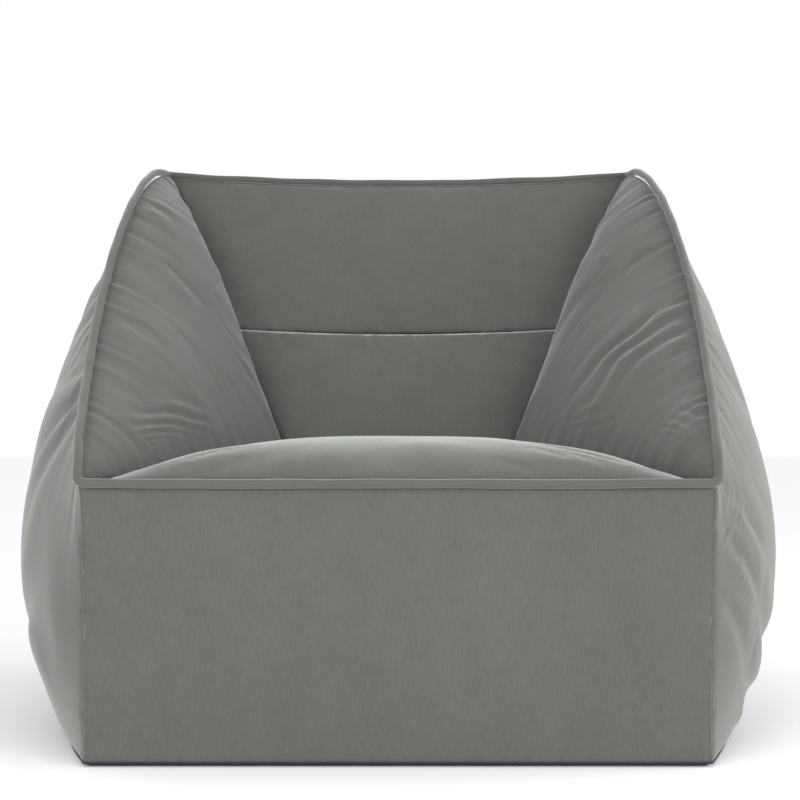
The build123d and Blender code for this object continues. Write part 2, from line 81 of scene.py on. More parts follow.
def rim_line(y):
    """The arm's rim. Half-width: a straight taper plus half a sine wave outwards. Height: a steady climb that
    levels off at the back, less a quick drop where it meets the front corner."""
    t = (y - FRONT) / (RIM_BACK - FRONT)
    x = 0.340 - 0.008 * t + 0.028 * np.sin(np.pi * t)
    z = 0.318 + 0.392 * (t + 1.1 * t**3 * (1 - t)) - 0.018 * np.exp((FRONT - y) / 0.010)
    return np.stack([x, y, z], -1)


def valley_line(y):
    """The seam in the crease: straight from the front corner to the seat's rear corner, then straight up to
    the rim's back corner."""
    start, turn, end = rim_line(np.array([FRONT]))[0], np.array([0.140, SEAT_REAR, SEAT_Z]), \
        rim_line(np.array([RIM_BACK]))[0]
    low = np.clip((y - FRONT) / (SEAT_REAR - FRONT), 0, 1)[:, None]
    high = np.clip((y - SEAT_REAR) / (RIM_BACK - SEAT_REAR), 0, 1)[:, None]
    return start + (turn - start) * low + (end - turn) * high


seat_y = np.linspace(FRONT, SEAT_REAR, 61)
lumbar_y = SEAT_REAR + (RIM_BACK - SEAT_REAR) * (LUMBAR_Z - SEAT_Z) / (BACK_Z - SEAT_Z)
lower_y, upper_y = np.linspace(SEAT_REAR, lumbar_y, 19), np.linspace(lumbar_y, RIM_BACK, 23)
arm_y = np.concatenate([seat_y, lower_y[1:], upper_y[1:]])
s = np.linspace(-1, 1, ACROSS + 1)[None, :, None]  # across the chair
up_share = np.concatenate([np.linspace(0, 0.044 / BACK_Z, 5), np.linspace(0.056 / BACK_Z, 1, UP - 4)])
print("stations along an arm", len(arm_y), "lumbar seam at", round(float(lumbar_y), 4))

# %% [markdown]
# ## The ten panels as grids
# Each panel is a grid of points between its seams, swollen a little so that the simulation starts from a
# believable shape. A grid is worked out in one go from two parameters, with no loop over its points.

# %% Swelling helpers


def step(a, b, t):
    """A smooth ramp from 0 at a to 1 at b: three t squared less two t cubed."""
    q = np.clip((t - a) / (b - a), 0, 1)
    return q * q * (3 - 2 * q)


def across(y):
    """Straight rows of points from the right valley seam to the left one at each depth y."""
    left = valley_line(y)[:, None, :]
    right = left * np.array([-1, 1, 1])
    return right + (left - right) * (s + 1) / 2


def ripple(points, wavelength, seed, count=9):
    """Smooth noise of about unit height: a sum of sine waves with seeded random directions and phases."""
    rng = np.random.default_rng(seed)
    way = rng.normal(size=(count, 3))
    way *= (2 * np.pi / wavelength) / np.linalg.norm(way, axis=1)[:, None] * rng.uniform(0.6, 1.5, (count, 1))
    return np.sin(points @ way.T + rng.uniform(0, 2 * np.pi, count)).sum(-1) / math.sqrt(count / 2)


# %% Seat and backrest grids
depth = (seat_y - FRONT)[:, None]
seat = across(seat_y)
crown = (1 - np.exp(-depth / 0.030)) * (1 - 0.80 * step(0.20, 0.52, depth))
seat[..., 2] += 0.043 * crown * (1 - np.abs(s[..., 0]) ** 4.6)

REST_OUT = np.array([0, -(BACK_Z - SEAT_Z), RIM_BACK - SEAT_REAR])
REST_OUT = REST_OUT / np.linalg.norm(REST_OUT)
lower_t = ((lower_y - SEAT_REAR) / (lumbar_y - SEAT_REAR))[:, None]
upper_t = ((upper_y - lumbar_y) / (RIM_BACK - lumbar_y))[:, None]
flank = 1 - s[..., 0] ** 2
lower_rest = across(lower_y) + (0.020 * 4 * lower_t * (1 - lower_t) - 0.012 * lower_t)[..., None] \
    * flank[..., None] * REST_OUT
upper_rest = across(upper_y) + (0.020 * 4 * upper_t * (1 - upper_t) - 0.012 * (1 - upper_t))[..., None] \
    * flank[..., None] * REST_OUT
upper_rest[..., 2] -= 0.012 * step(0, 1, upper_t) * flank
print("seat crown", round(float(seat[..., 2].max()), 4))

# %% Arm and side grids
v_arm = np.linspace(0, 1, 46)[None, :, None]


def arm_grid():
    """From valley to rim at each depth, swollen towards the sitter by a parabola."""
    low, rim = valley_line(arm_y)[:, None, :], rim_line(arm_y)[:, None, :]
    run = rim - low
    length = np.linalg.norm(run, axis=-1, keepdims=True)
    out = np.concatenate([-run[..., 2:], 0 * run[..., :1], run[..., :1]], -1) / np.maximum(length, 1e-6)
    return low + run * v_arm + out * 0.032 * np.minimum(1, length / 0.25) * 4 * v_arm * (1 - v_arm)


def side_grid():
    """From the floor to the rim at each depth. The half-width is the parabola through foot, swell and rim."""
    rim, up = rim_line(arm_y)[:, None, :], up_share[None, :]
    wave = np.sin(np.pi * (arm_y - FRONT) / (RIM_BACK - FRONT))[:, None]
    bow = wave * (1.3 - 0.3 * wave**2)
    foot, swell, top_z = 0.335 + 0.058 * bow, 0.335 + 0.124 * bow, rim[..., 2]
    peak = 0.24 * np.sqrt(top_z / 0.54) / top_z
    x = foot * (up - peak) * (up - 1) / peak + swell * up * (up - 1) / (peak * (peak - 1)) \
        + rim[..., 0] * up * (up - peak) / (1 - peak)
    y = rim[..., 1] + (FOOT - RIM_BACK) * (rim[..., 1] - FRONT) / (RIM_BACK - FRONT) * (1 - up)
    return np.stack([x, y, top_z * up], -1)


left_arm, left_side = arm_grid(), side_grid()
MIRROR = np.array([-1.0, 1.0, 1.0])
print("side swells to", round(float(left_side[..., 0].max()), 4))

# %% Front, back and base grids
front = np.empty((ACROSS + 1, len(up_share), 3))
front[:] = left_side[0][None] * np.stack([s[0, :, 0], np.ones(ACROSS + 1), np.ones(ACROSS + 1)], -1)[:, None]
front[..., 2] += (seat[0, :, 2] - front[:, -1, 2])[:, None] * up_share**4

back = np.empty_like(front)
top_z = upper_rest[-1, :, 2][:, None]
z = top_z * up_share
climb = np.clip((z - 0.092) / (top_z - 0.092), 0, 1)
back[..., 0] = s[0] * (0.335 - 0.003 * up_share)
swell = 0.044 * np.sin(np.pi * climb**0.7) * np.cos(np.pi / 2 * s[0])
back[..., 1] = FOOT + (RIM_BACK - FOOT) * climb + swell
back[..., 2] = z
back[:, -1] = upper_rest[-1]
left_side[-1] = back[-1]
foot_line = left_side[:, 0]
base = foot_line[:, None] * np.stack([s[0, :, 0], np.ones(ACROSS + 1), np.ones(ACROSS + 1)], -1)[None]
base[0], base[-1] = front[:, 0], back[:, 0]
seat[0] = front[:, -1]
left_arm[:, 0], left_arm[:, -1] = valley_line(arm_y), left_side[:, -1]
lower_rest[0], upper_rest[0] = seat[-1], lower_rest[-1]
left_arm[:61, 0], left_arm[60:79, 0], left_arm[78:, 0] = seat[:, -1], lower_rest[:, -1], upper_rest[:, -1]
left_arm[0], left_arm[-1] = left_side[0, -1], left_side[-1, -1]
grids = {
    "seat": seat, "lower_rest": lower_rest, "upper_rest": upper_rest, "front": front, "back": back,
    "base": base, "left_arm": left_arm, "right_arm": left_arm * MIRROR,
    "left_side": left_side, "right_side": left_side * MIRROR,
}
for grid in grids.values():
    grid += 0.0  # turns minus zero into zero, so that equal points weld
print({name: grid.shape[:2] for name, grid in grids.items()})

# %% [markdown]
# ## Folds wait in the cut of the cloth
# The arms' inner panels are cut longer along the rim than the seam they join, so they gather into folds
# that fan out from the seat's rear corner. Low ripples seeded along those lines before the simulation let
# the pressure grow them into folds. The outer sides get flatter ripples that sweep back from the front
# seam.

# %% Seed the folds


def normals_of(grid):
    """Unit normals of a grid: the cross product of its two directions of travel."""
    n = np.cross(np.gradient(grid, axis=0), np.gradient(grid, axis=1))
    return n / np.maximum(np.linalg.norm(n, axis=-1, keepdims=True), 1e-12)


def edge_fade(grid, width):
    """0 on a panel's seams, rising smoothly to 1 at the given number of cells inside."""
    i, j = np.indices(grid.shape[:2])
    near = np.minimum(np.minimum(i, grid.shape[0] - 1 - i), np.minimum(j, grid.shape[1] - 1 - j))
    return step(0, width, near)


def ridges(phase):
    """Soft folds: rounded crests with narrower valleys between them, from a sine of the phase."""
    wave = np.sin(2 * np.pi * phase)
    return 0.65 * wave + 0.35 * (1 - np.abs(np.cos(np.pi * phase))) * 2 - 0.35


def arm_folds(grid, seed):
    """Ridges on lines that fan from the seat's rear corner to the rim, then run straight from rim to valley.
    Their spacing wanders and they come and go in patches, so no two folds match."""
    v = v_arm[..., 0]
    y = arm_y[:, None] + 0 * v
    hit = np.where(y < SEAT_REAR, SEAT_REAR + (y - SEAT_REAR) / np.maximum(v, 0.10) ** 0.75, y)
    wander = ripple(grid, 0.26, seed) * 0.55 + ripple(grid, 0.11, seed + 1) * 0.14
    patchy = np.clip(0.5 + 0.6 * ripple(grid, 0.17, seed + 2), 0.0, 1.3)
    return ridges(hit / 0.100 + wander) * patchy * step(0.05, 0.45, v) * step(0.02, 0.16, y - FRONT)


def side_folds(grid, seed):
    """Ridges that sweep back and slightly down from the front seam round the swollen side."""
    wander = ripple(grid, 0.35, seed) * 0.5
    phase = (grid[..., 2] + 0.45 * grid[..., 1]) / 0.11 + wander
    return ridges(phase) * np.clip(0.4 + 0.6 * ripple(grid, 0.25, seed + 2), 0, 1.2)


def add_folds(name, heights, amount):
    """Move a grid along its outward normals by the heights, faded out at the seams."""
    grid = grids[name]
    grid += normals_of(grid) * facing[name] * (heights * edge_fade(grid, 5) * amount)[..., None]


INSIDE = {  # a place in the beads behind each panel, from which its outward side is told
    "left_arm": (0.40, 0.0, 0.15), "right_arm": (-0.40, 0.0, 0.15),
    "lower_rest": (0.0, 0.30, 0.20), "upper_rest": (0.0, 0.34, 0.30),
}
facing = {}
for name, grid in grids.items():
    away = grid - np.array(INSIDE.get(name, (0, 0, 0.20)))
    facing[name] = float(np.sign((away * normals_of(grid)).sum(-1).mean()))
for side, seed in (("left", 11), ("right", 31)):
    add_folds(side + "_arm", arm_folds(grids[side + "_arm"], seed), 0.0024)
    add_folds(side + "_side", side_folds(grids[side + "_side"], seed + 7), 0.0042)
for name, amount in (("seat", 0.0012), ("lower_rest", 0.0015), ("upper_rest", 0.0015), ("front", 0.0006),
                     ("back", 0.0015)):
    add_folds(name, ripple(grids[name], 0.10, len(name) + 50), amount)
print("outward signs", facing)

# %% [markdown]
# ## Weld and inflate
# The grids are welded into one closed skin by giving equal points one number. The skin becomes cloth:
# seams, base and zip band are pinned, every panel is let out by its own few percent, and the pressure of
# the beads pushes it outwards for a few frames. Afterwards each grid reads its points back, so the panels
# stay separate pieces that meet exactly.

# %% Weld the grids
names = list(grids)
flat = np.round(np.concatenate([grids[n].reshape(-1, 3) for n in names]), 7)
points, weld = np.unique(flat, axis=0, return_inverse=True)
weld = weld.ravel()
offsets = dict(zip(names, np.cumsum([0] + [grids[n][..., 0].size for n in names[:-1]])))


def quads(rows, columns, flip):
    """Corner numbers of every cell of a grid, turned so that the faces point outwards."""
    a = (np.arange(rows - 1)[:, None] * columns + np.arange(columns - 1)).ravel()
    cell = np.stack([a, a + columns, a + columns + 1, a + 1], -1)
    return cell[:, ::-1] if flip else cell


cells = np.concatenate([
    weld[offsets[n] + quads(*grids[n].shape[:2], facing[n] < 0)] for n in names
])
same = cells == np.roll(cells, -1, axis=1)
faces = cells[~same.any(1)].tolist()
for row, twin in zip(cells[same.sum(1) == 1], same[same.sum(1) == 1]):
    faces.append(row[~twin].tolist())
held, let_out = np.zeros(len(points)), np.zeros(len(points))
LOOSE = {"seat": 0.35, "lower_rest": 0.6, "upper_rest": 0.6, "front": 0.12, "back": 0.4, "base": 0.0,
         "left_arm": 1.0, "right_arm": 1.0, "left_side": 0.65, "right_side": 0.65}
for n in names:
    grid = grids[n]
    index = weld[offsets[n]:offsets[n] + grid[..., 0].size].reshape(grid.shape[:2])
    let_out[index] = LOOSE[n]
for n in names:
    grid = grids[n]
    index = weld[offsets[n]:offsets[n] + grid[..., 0].size].reshape(grid.shape[:2])
    rim_of_grid = np.concatenate([index[0], index[-1], index[:, 0], index[:, -1]])
    held[rim_of_grid] = 1
    if n == "base":
        held[index] = 1
    if n == "back":
        held[index[grid[..., 2] < 0.095]] = 1
print("welded points", len(points), "faces", len(faces), "held", int(held.sum()))

# %% Inflate the cover


def inflate(points, faces, held, let_out, frames):
    """Run the cloth on the welded skin and return its final points."""
    mesh = bpy.data.meshes.new("cover_cloth")
    mesh.from_pydata(points.tolist(), [], faces)
    skin = bpy.data.objects.new("cover_cloth", mesh)
    scene.collection.objects.link(skin)
    pin = skin.vertex_groups.new(name="held")
    pin.add(np.flatnonzero(held > 0).tolist(), 1.0, "REPLACE")
    loose = skin.vertex_groups.new(name="let_out")
    for value in np.unique(let_out):
        if value > 0:
            loose.add(np.flatnonzero(let_out == value).tolist(), float(value), "REPLACE")
    cloth = skin.modifiers.new("cloth", "CLOTH")
    rules = cloth.settings
    rules.quality = 5
    rules.mass = 0.25
    rules.tension_stiffness = rules.compression_stiffness = 18
    rules.shear_stiffness = 6
    rules.bending_stiffness = 0.35
    rules.tension_damping = rules.compression_damping = rules.shear_damping = 6
    rules.air_damping = 3
    rules.vertex_group_mass = "held"
    rules.pin_stiffness = 50
    rules.use_pressure = True
    rules.uniform_pressure_force = 3.0
    rules.vertex_group_shrink = "let_out"
    rules.shrink_min, rules.shrink_max = 0.0, -0.048
    rules.effector_weights.gravity = 0
    cloth.collision_settings.use_collision = False
    cloth.point_cache.frame_start, cloth.point_cache.frame_end = 1, frames
    for frame_number in range(1, frames + 1):
        scene.frame_set(frame_number)
    ready = skin.evaluated_get(bpy.context.evaluated_depsgraph_get()).to_mesh()
    out = np.empty(len(ready.vertices) * 3)
    ready.vertices.foreach_get("co", out)
    scene.frame_set(1)
    bpy.data.objects.remove(skin)
    bpy.data.meshes.remove(mesh)
    return out.reshape(-1, 3)


settled = inflate(points, faces, held, let_out, 24)
moved = settled - points
far = np.linalg.norm(moved, axis=1)
CAP = 0.016  # the farthest that a point may end from where it started
settled = points + moved * np.minimum(1, CAP / np.maximum(far, 1e-9))[:, None]
settled[:, 2] = np.maximum(settled[:, 2], 0)
for n in names:
    grids[n] = settled[weld[offsets[n]:offsets[n] + grids[n][..., 0].size]].reshape(grids[n].shape)
print("cloth moved up to", round(float(far.max()), 4))
print("9 in 10 points moved less than", round(float(np.quantile(far, 0.9)), 4))

# %% [markdown]
# ## Finer cloth, tucked seams and puckers
# The simulation runs on a coarse grid, which is quick and gives the large folds. Each panel is then refined
# by a smooth curve through its points, its edges are rolled under into the seams, and stitching puckers are
# added: short ridges square to a seam that die away a few centimetres from it.

# %% Refine, tuck and pucker


def finer(grid, times):
    """More points along both directions, on the smooth cubic curve through each point and its neighbours."""
    for axis in (0, 1):
        g = np.moveaxis(grid, axis, 0)
        g = np.concatenate([2 * g[:1] - g[1:2], g, 2 * g[-1:] - g[-2:-1]])
        a, b, c, d = g[:-3], g[1:-2], g[2:-1], g[3:]
        parts = []
        for f in np.arange(times) / times:
            parts.append(b + 0.5 * f * (c - a + f * (2 * a - 5 * b + 4 * c - d + f * (3 * (b - c) + d - a))))
        rows = np.stack(parts, 1).reshape(-1, *g.shape[1:])
        grid = np.moveaxis(np.concatenate([rows, g[-2:-1]]), 0, axis)
    return grid


def lengths(grid, axis):
    """Distance travelled along the cloth from the grid's first edge, in one direction."""
    hop = np.linalg.norm(np.diff(grid, axis=axis), axis=-1)
    total = np.cumsum(hop, axis=axis)
    return np.concatenate([np.zeros_like(np.take(total, [0], axis)), total], axis)


def pucker_line(along, wavelength, seed):
    """Uneven ridges along a seam: a sine whose spacing and height drift from stitch to stitch."""
    rng = np.random.default_rng(seed)
    drift = sum(
        rng.uniform(0.3, 1) * np.sin(along * k + rng.uniform(0, 6.3)) for k in (21.0, 47.0, 83.0, 131.0))
    height = 0.55 + 0.45 * np.sin(along * 33 + rng.uniform(0, 6.3)) * np.sin(along * 71 + rng.uniform(0, 6.3))
    return np.sin(2 * np.pi * along / wavelength + 1.4 * drift) * height


TUCK_DEPTH, TUCK_REACH = 0.0024, 0.0050
# how strongly a panel's four edges pucker: its first row, last row, first column and last column
PUCKERS = {
    "seat": (1.0, 1.4, 1.3, 1.3), "lower_rest": (1.0, 1.6, 1.2, 1.2), "upper_rest": (1.7, 0.9, 1.2, 1.2),
    "front": (0.7, 0.7, 0.0, 0.5), "back": (0.9, 0.9, 0.0, 0.9),
    "left_arm": (0.0, 0.0, 1.4, 1.4), "right_arm": (0.0, 0.0, 1.4, 1.4),
    "left_side": (0.9, 0.9, 0.0, 1.5), "right_side": (0.9, 0.9, 0.0, 1.5),
}


def sew(name, times=2):
    """Refine a panel and shape it at its seams. Returns its points and their distances to its four edges."""
    fine = finer(grids[name], times)
    i_run, j_run = lengths(fine, 0), lengths(fine, 1)
    edges = (i_run, i_run[-1:] - i_run, j_run, j_run[:, -1:] - j_run)
    out = normals_of(fine) * facing[name]
    shift = np.zeros(fine.shape[:2])
    for number, (gap, height) in enumerate(zip(edges, PUCKERS[name])):
        along = j_run if number < 2 else i_run
        seed = 100 * number + sum(map(ord, name))
        shift += height * 0.0006 * np.exp(-gap / 0.016) * pucker_line(along, 0.017, seed)
        shift += height * 0.0012 * np.exp(-gap / 0.042) * pucker_line(along, 0.046, seed + 7)
    near = np.minimum.reduce(edges)
    fade = step(0.02, 0.14, fine[..., 1] - FRONT) if "arm" in name else 1
    shift *= (1 - np.exp(-near / 0.003)) * fade
    shift -= TUCK_DEPTH * np.exp(-(near / TUCK_REACH) ** 2)
    return fine + out * shift[..., None], edges


panels = {name: sew(name) for name in names if name != "base"}
for name in ("front", "back", "left_side", "right_side"):
    height = panels[name][0][..., 2]
    height += 0.0035 * np.clip(1 - height / 0.025, 0, 1)
for grid, edges in panels.values():
    grid[..., 2] = np.maximum(grid[..., 2], 0.002)
print({name: grid.shape[:2] for name, (grid, edges) in panels.items()})

# %% [markdown]
# ## From points to pieces
# Every piece goes through one helper: it fills a mesh, stores a UV map in metres of cloth, so that the pile
# follows each panel, and sets smooth shading.

# %% Mesh helper


def make_piece(name, vertices, corners, uv=None, material=None):
    """A mesh object at the origin from arrays of points and of faces, with an optional UV for each point."""
    mesh = bpy.data.meshes.new(name)
    mesh.from_pydata(vertices.tolist(), [], corners.tolist())
    if uv is not None:
        loops = np.empty(len(mesh.loops), int)
        mesh.loops.foreach_get("vertex_index", loops)
        mesh.uv_layers.new(name="cloth").data.foreach_set("uv", uv[loops].astype(np.float32).ravel())
    mesh.polygons.foreach_set("use_smooth", np.ones(len(mesh.polygons), bool))
    mesh.validate()
    piece = bpy.data.objects.new(name, mesh)
    scene.collection.objects.link(piece)
    if material is not None:
        mesh.materials.append(material)
    return piece


def cloth_wall(piece, thickness):
    """Give a sheet its thickness inwards, so that its visible face stays where it was drawn."""
    wall = piece.modifiers.new("thickness", "SOLIDIFY")
    wall.thickness = thickness
    wall.offset = -1
    return piece

# %% [markdown]
# ## Velvet
# Velvet is a short dense pile. It looks lighter where the pile is seen from the side, which the sheen
# gives, and its tone changes where the pile has been brushed or pressed, which slow noise gives. The pile
# leans down the cloth, so a stretched noise on the panel's own UV draws faint streaks. The pattern is a
# shader node group because the panels, the piping and the zip's cloth loop all wear it, each with its own
# strength.

# %% Velvet pattern group


def new_group(name, inputs, outputs):
    """An empty shader node group with named float inputs (and their defaults) and outputs."""
    group = bpy.data.node_groups.new(name, "ShaderNodeTree")
    for label, value in inputs.items():
        socket = group.interface.new_socket(label, in_out="INPUT", socket_type="NodeSocketFloat")
        socket.default_value = value
    for label in outputs:
        group.interface.new_socket(label, in_out="OUTPUT", socket_type="NodeSocketFloat")
    return group, group.nodes.new("NodeGroupInput"), group.nodes.new("NodeGroupOutput")


def noise_layer(tree, coordinates, stretch, detail, roughness=0.5):
    """A noise texture on coordinates in metres, its cells stretched by three numbers (cells a metre)."""
    mapping, noise = tree.nodes.new("ShaderNodeMapping"), tree.nodes.new("ShaderNodeTexNoise")
    mapping.inputs["Scale"].default_value = stretch
    noise.inputs["Scale"].default_value = 1.0
    noise.inputs["Detail"].default_value = detail
    noise.inputs["Roughness"].default_value = roughness
    tree.links.new(coordinates, mapping.inputs["Vector"])
    tree.links.new(mapping.outputs["Vector"], noise.inputs["Vector"])
    return noise.outputs["Fac"]


def blend_values(tree, terms, offset=0.0):
    """Sum of value sockets, each less a half and times its own strength (a number or a socket)."""
    total = None
    for value, strength in terms:
        centred, scaled = tree.nodes.new("ShaderNodeMath"), tree.nodes.new("ShaderNodeMath")
        centred.operation, scaled.operation = "SUBTRACT", "MULTIPLY"
        tree.links.new(value, centred.inputs[0])
        centred.inputs[1].default_value = 0.5
        tree.links.new(centred.outputs[0], scaled.inputs[0])
        if isinstance(strength, float):
            scaled.inputs[1].default_value = strength
        else:
            tree.links.new(strength, scaled.inputs[1])
        if total is None:
            total = scaled.outputs[0]
        else:
            add = tree.nodes.new("ShaderNodeMath")
            tree.links.new(total, add.inputs[0])
            tree.links.new(scaled.outputs[0], add.inputs[1])
            total = add.outputs[0]
    last = tree.nodes.new("ShaderNodeMath")
    tree.links.new(total, last.inputs[0])
    last.inputs[1].default_value = offset
    return last.outputs[0]


pile_group, pile_in, pile_out = new_group(
    "velvet_pile", {"Streaks": 0.5, "Brushing": 0.5, "Fuzz": 0.5}, ("Tone", "Height"))
pile_uv = pile_group.nodes.new("ShaderNodeUVMap")
pile_uv.uv_map = "cloth"
pile_objects = pile_group.nodes.new("ShaderNodeTexCoord")
streaks = noise_layer(pile_group, pile_uv.outputs["UV"], (620, 70, 1), 4, 0.6)
threads = noise_layer(pile_group, pile_uv.outputs["UV"], (1500, 420, 1), 2)
brushing = noise_layer(pile_group, pile_objects.outputs["Object"], (7, 7, 5), 3, 0.55)
pressing = noise_layer(pile_group, pile_objects.outputs["Object"], (38, 38, 22), 3)
fuzz = noise_layer(pile_group, pile_objects.outputs["Object"], (900, 900, 900), 2, 0.7)
pile_group.links.new(blend_values(pile_group, [
    (streaks, pile_in.outputs["Streaks"]), (threads, pile_in.outputs["Fuzz"]),
    (brushing, pile_in.outputs["Brushing"]), (pressing, pile_in.outputs["Brushing"]),
], 0.5), pile_out.inputs["Tone"])
pile_group.links.new(blend_values(pile_group, [(fuzz, 0.6), (threads, 0.8), (streaks, 0.5)], 0.5),
                     pile_out.inputs["Height"])
print("velvet group sockets", [item.name for item in pile_group.interface.items_tree])

# %% [markdown]
# ## The velvet material
# The group's tone picks a colour between the pile seen end-on, which is dark, and seen from the side, which
# is light. The height only feeds a small bump: every fold that matters is already in the mesh.

# %% Velvet material


def new_material(name, roughness, **constants):
    """A material whose Principled shader has the given constants set on its own sockets."""
    material = bpy.data.materials.new(name)
    material.use_nodes = True
    shader = material.node_tree.nodes["Principled BSDF"]
    shader.inputs["Roughness"].default_value = roughness
    for label, value in constants.items():
        shader.inputs[label.replace("_", " ")].default_value = value
    return material, material.node_tree, shader


def tone_colour(tree, tone, stops):
    """A colour ramp from the list of (position, colour) stops, driven by a tone between 0 and 1."""
    ramp = tree.nodes.new("ShaderNodeValToRGB")
    for number, (position, colour) in enumerate(stops):
        element = ramp.color_ramp.elements[number] if number < 2 else ramp.color_ramp.elements.new(position)
        element.position, element.color = position, (*colour, 1)
    tree.links.new(tone, ramp.inputs["Fac"])
    return ramp.outputs["Color"]


def add_bump(tree, shader, height, distance, strength=1.0):
    """Feed a height into the shader's normal, the distance being the height's full travel in metres."""
    bump = tree.nodes.new("ShaderNodeBump")
    bump.inputs["Distance"].default_value = distance
    bump.inputs["Strength"].default_value = strength
    tree.links.new(height, bump.inputs["Height"])
    tree.links.new(bump.outputs["Normal"], shader.inputs["Normal"])


def velvet(name, dark, light, streak, brush):
    """Velvet between two colours, with its own strength of streaks and of brushed patches."""
    material, tree, shader = new_material(
        name, 0.82, Sheen_Weight=0.55, Sheen_Roughness=0.42, Sheen_Tint=(0.86, 0.90, 0.85, 1),
        Specular_IOR_Level=0.22)
    pile = tree.nodes.new("ShaderNodeGroup")
    pile.node_tree = pile_group
    pile.inputs["Streaks"].default_value = streak
    pile.inputs["Brushing"].default_value = brush
    pile.inputs["Fuzz"].default_value = 0.35
    tree.links.new(tone_colour(tree, pile.outputs["Tone"], [(0.0, dark), (1.0, light)]),
                   shader.inputs["Base Color"])
    add_bump(tree, shader, pile.outputs["Height"], 0.00035, 0.6)
    return material


VELVET_DARK, VELVET_LIGHT = (0.0485, 0.0520, 0.0470), (0.1060, 0.1105, 0.1010)
cover_velvet = velvet("slate_velvet", VELVET_DARK, VELVET_LIGHT, 0.75, 0.25)
piping_velvet = velvet("slate_velvet_piping", VELVET_DARK, VELVET_LIGHT, 0.5, 0.2)
print("velvets", cover_velvet.name, piping_velvet.name)

# %% [markdown]
# ## Cover panels
# The nine velvet panels become pieces. The back panel loses the cells of the zip's slit. Each stands for its
# imported node, which is hidden.

# %% Cover panels
CUT = {  # node, flat width and length in metres, flat area in square metres, the bag that it rests on
    "seat": ("seat_panel", (0.72, 0.56), 0.272, "seat"),
    "lower_rest": ("lower_backrest_panel", (0.48, 0.23), 0.088, "lower_back"),
    "upper_rest": ("upper_backrest_panel", (0.68, 0.28), 0.158, "upper_back"),
    "front": ("front_panel", (0.69, 0.31), 0.204, "seat"),
    "back": ("back_panel", (0.71, 0.75), 0.515, "lower_back"),
    "left_arm": ("left_arm_panel", (0.90, 0.38), 0.195, "left_arm"),
    "right_arm": ("right_arm_panel", (0.90, 0.38), 0.195, "right_arm"),
    "left_side": ("left_side_panel", (0.90, 0.76), 0.490, "left_arm"),
    "right_side": ("right_side_panel", (0.90, 0.76), 0.490, "right_arm"),
}


def grid_area(grid):
    """Area of a grid: half the cross product of each cell's diagonals."""
    one, two = grid[1:, 1:] - grid[:-1, :-1], grid[1:, :-1] - grid[:-1, 1:]
    return float(np.linalg.norm(np.cross(one, two), axis=-1).sum() / 2)


cover_pieces = {}
for name, (grid, edges) in panels.items():
    corners = quads(*grid.shape[:2], facing[name] < 0)
    if name == "back":
        centre = grid.reshape(-1, 3)[corners].mean(1)
        corners = corners[~((np.abs(centre[:, 0]) < 0.2606) & (np.abs(centre[:, 2] - 0.050) < 0.0062))]
    uv = np.stack([edges[0], edges[2]], -1).reshape(-1, 2)
    uv = uv if name in ("front", "back", "left_side", "right_side") else uv[:, ::-1]
    node, size, area, under = CUT[name]
    piece = make_piece(node.replace("_panel", "_velvet"), grid.reshape(-1, 3), corners, uv, cover_velvet)
    cloth_wall(piece, 0.0016)
    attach(piece, "chair")
    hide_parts(node)
    cover_pieces[name] = piece
    print(node, "area now", round(grid_area(grid), 3), "cut", area, "size", size)

# %% [markdown]
# ## Piping
# Piping is a cord wrapped in a bias-cut strip and caught in the seam, so it sits in the groove between two
# panels. Its path is read from the rim of the grids, smoothed a little because the cord won't turn a sharp
# corner, and pushed outwards between the two panels. A tube is then carried along it, with the slight
# unevenness of a hand-fed strip and a small lap where its two ends join.

# %% Piping path


def smooth_loop(values, reach):
    """A closed loop averaged with a bell-shaped weight over the given number of points each way."""
    offsets_along = np.arange(-3 * reach, 3 * reach + 1)
    weights = np.exp(-(offsets_along / reach) ** 2)
    return sum(w * np.roll(values, k, axis=0) for k, w in zip(offsets_along, weights / weights.sum()))


def even_loop(points, gap):
    """The same closed loop with its points an even distance apart."""
    closed = np.concatenate([points, points[:1]])
    along = np.concatenate([[0], np.cumsum(np.linalg.norm(np.diff(closed, axis=0), axis=1))])
    keep = np.concatenate([[True], np.diff(along) > 1e-6])
    where = np.linspace(0, along[-1], int(round(along[-1] / gap)), endpoint=False)
    return np.stack([np.interp(where, along[keep], closed[keep, k]) for k in range(3)], -1)


rim_points = np.concatenate([
    grids["front"][:-1, -1], grids["left_side"][:-1, -1], grids["back"][:0:-1, -1],
    grids["right_side"][:0:-1, -1],
])
outward = {name: normals_of(grid) * facing[name] for name, grid in grids.items()}
rim_out = np.concatenate([
    outward["front"][:-1, -1] + outward["seat"][0, :-1],
    outward["left_side"][:-1, -1] + outward["left_arm"][:-1, -1],
    outward["back"][:0:-1, -1] + outward["upper_rest"][-1, :0:-1],
    outward["right_side"][:0:-1, -1] + outward["right_arm"][:0:-1, -1],
])
rim_out /= np.linalg.norm(rim_out, axis=1)[:, None]
rim_out = smooth_loop(rim_out, 3)
rim_out /= np.linalg.norm(rim_out, axis=1)[:, None]
PIPE_RADIUS = 0.0050
from_front, from_back = rim_points[:, 1] - FRONT, RIM_BACK - rim_points[:, 1]
pipe_rise = 0.0034 + 0.0024 * step(0.01, 0.06, from_front) * step(0.01, 0.05, from_back)
pipe_path = smooth_loop(even_loop(rim_points + rim_out * pipe_rise[:, None], 0.004), 2)
nearest = np.argmin(((pipe_path[:, None, :] - rim_points[None]) ** 2).sum(-1), axis=1)
pipe_out = smooth_loop(rim_out[nearest], 2)
pipe_path += pipe_out * (ripple(pipe_path, 0.09, 5) * 0.0004)[:, None]
pipe_steps = np.linalg.norm(np.roll(pipe_path, -1, 0) - pipe_path, axis=1)
print("piping loop", round(float(pipe_steps.sum()), 3), "m")

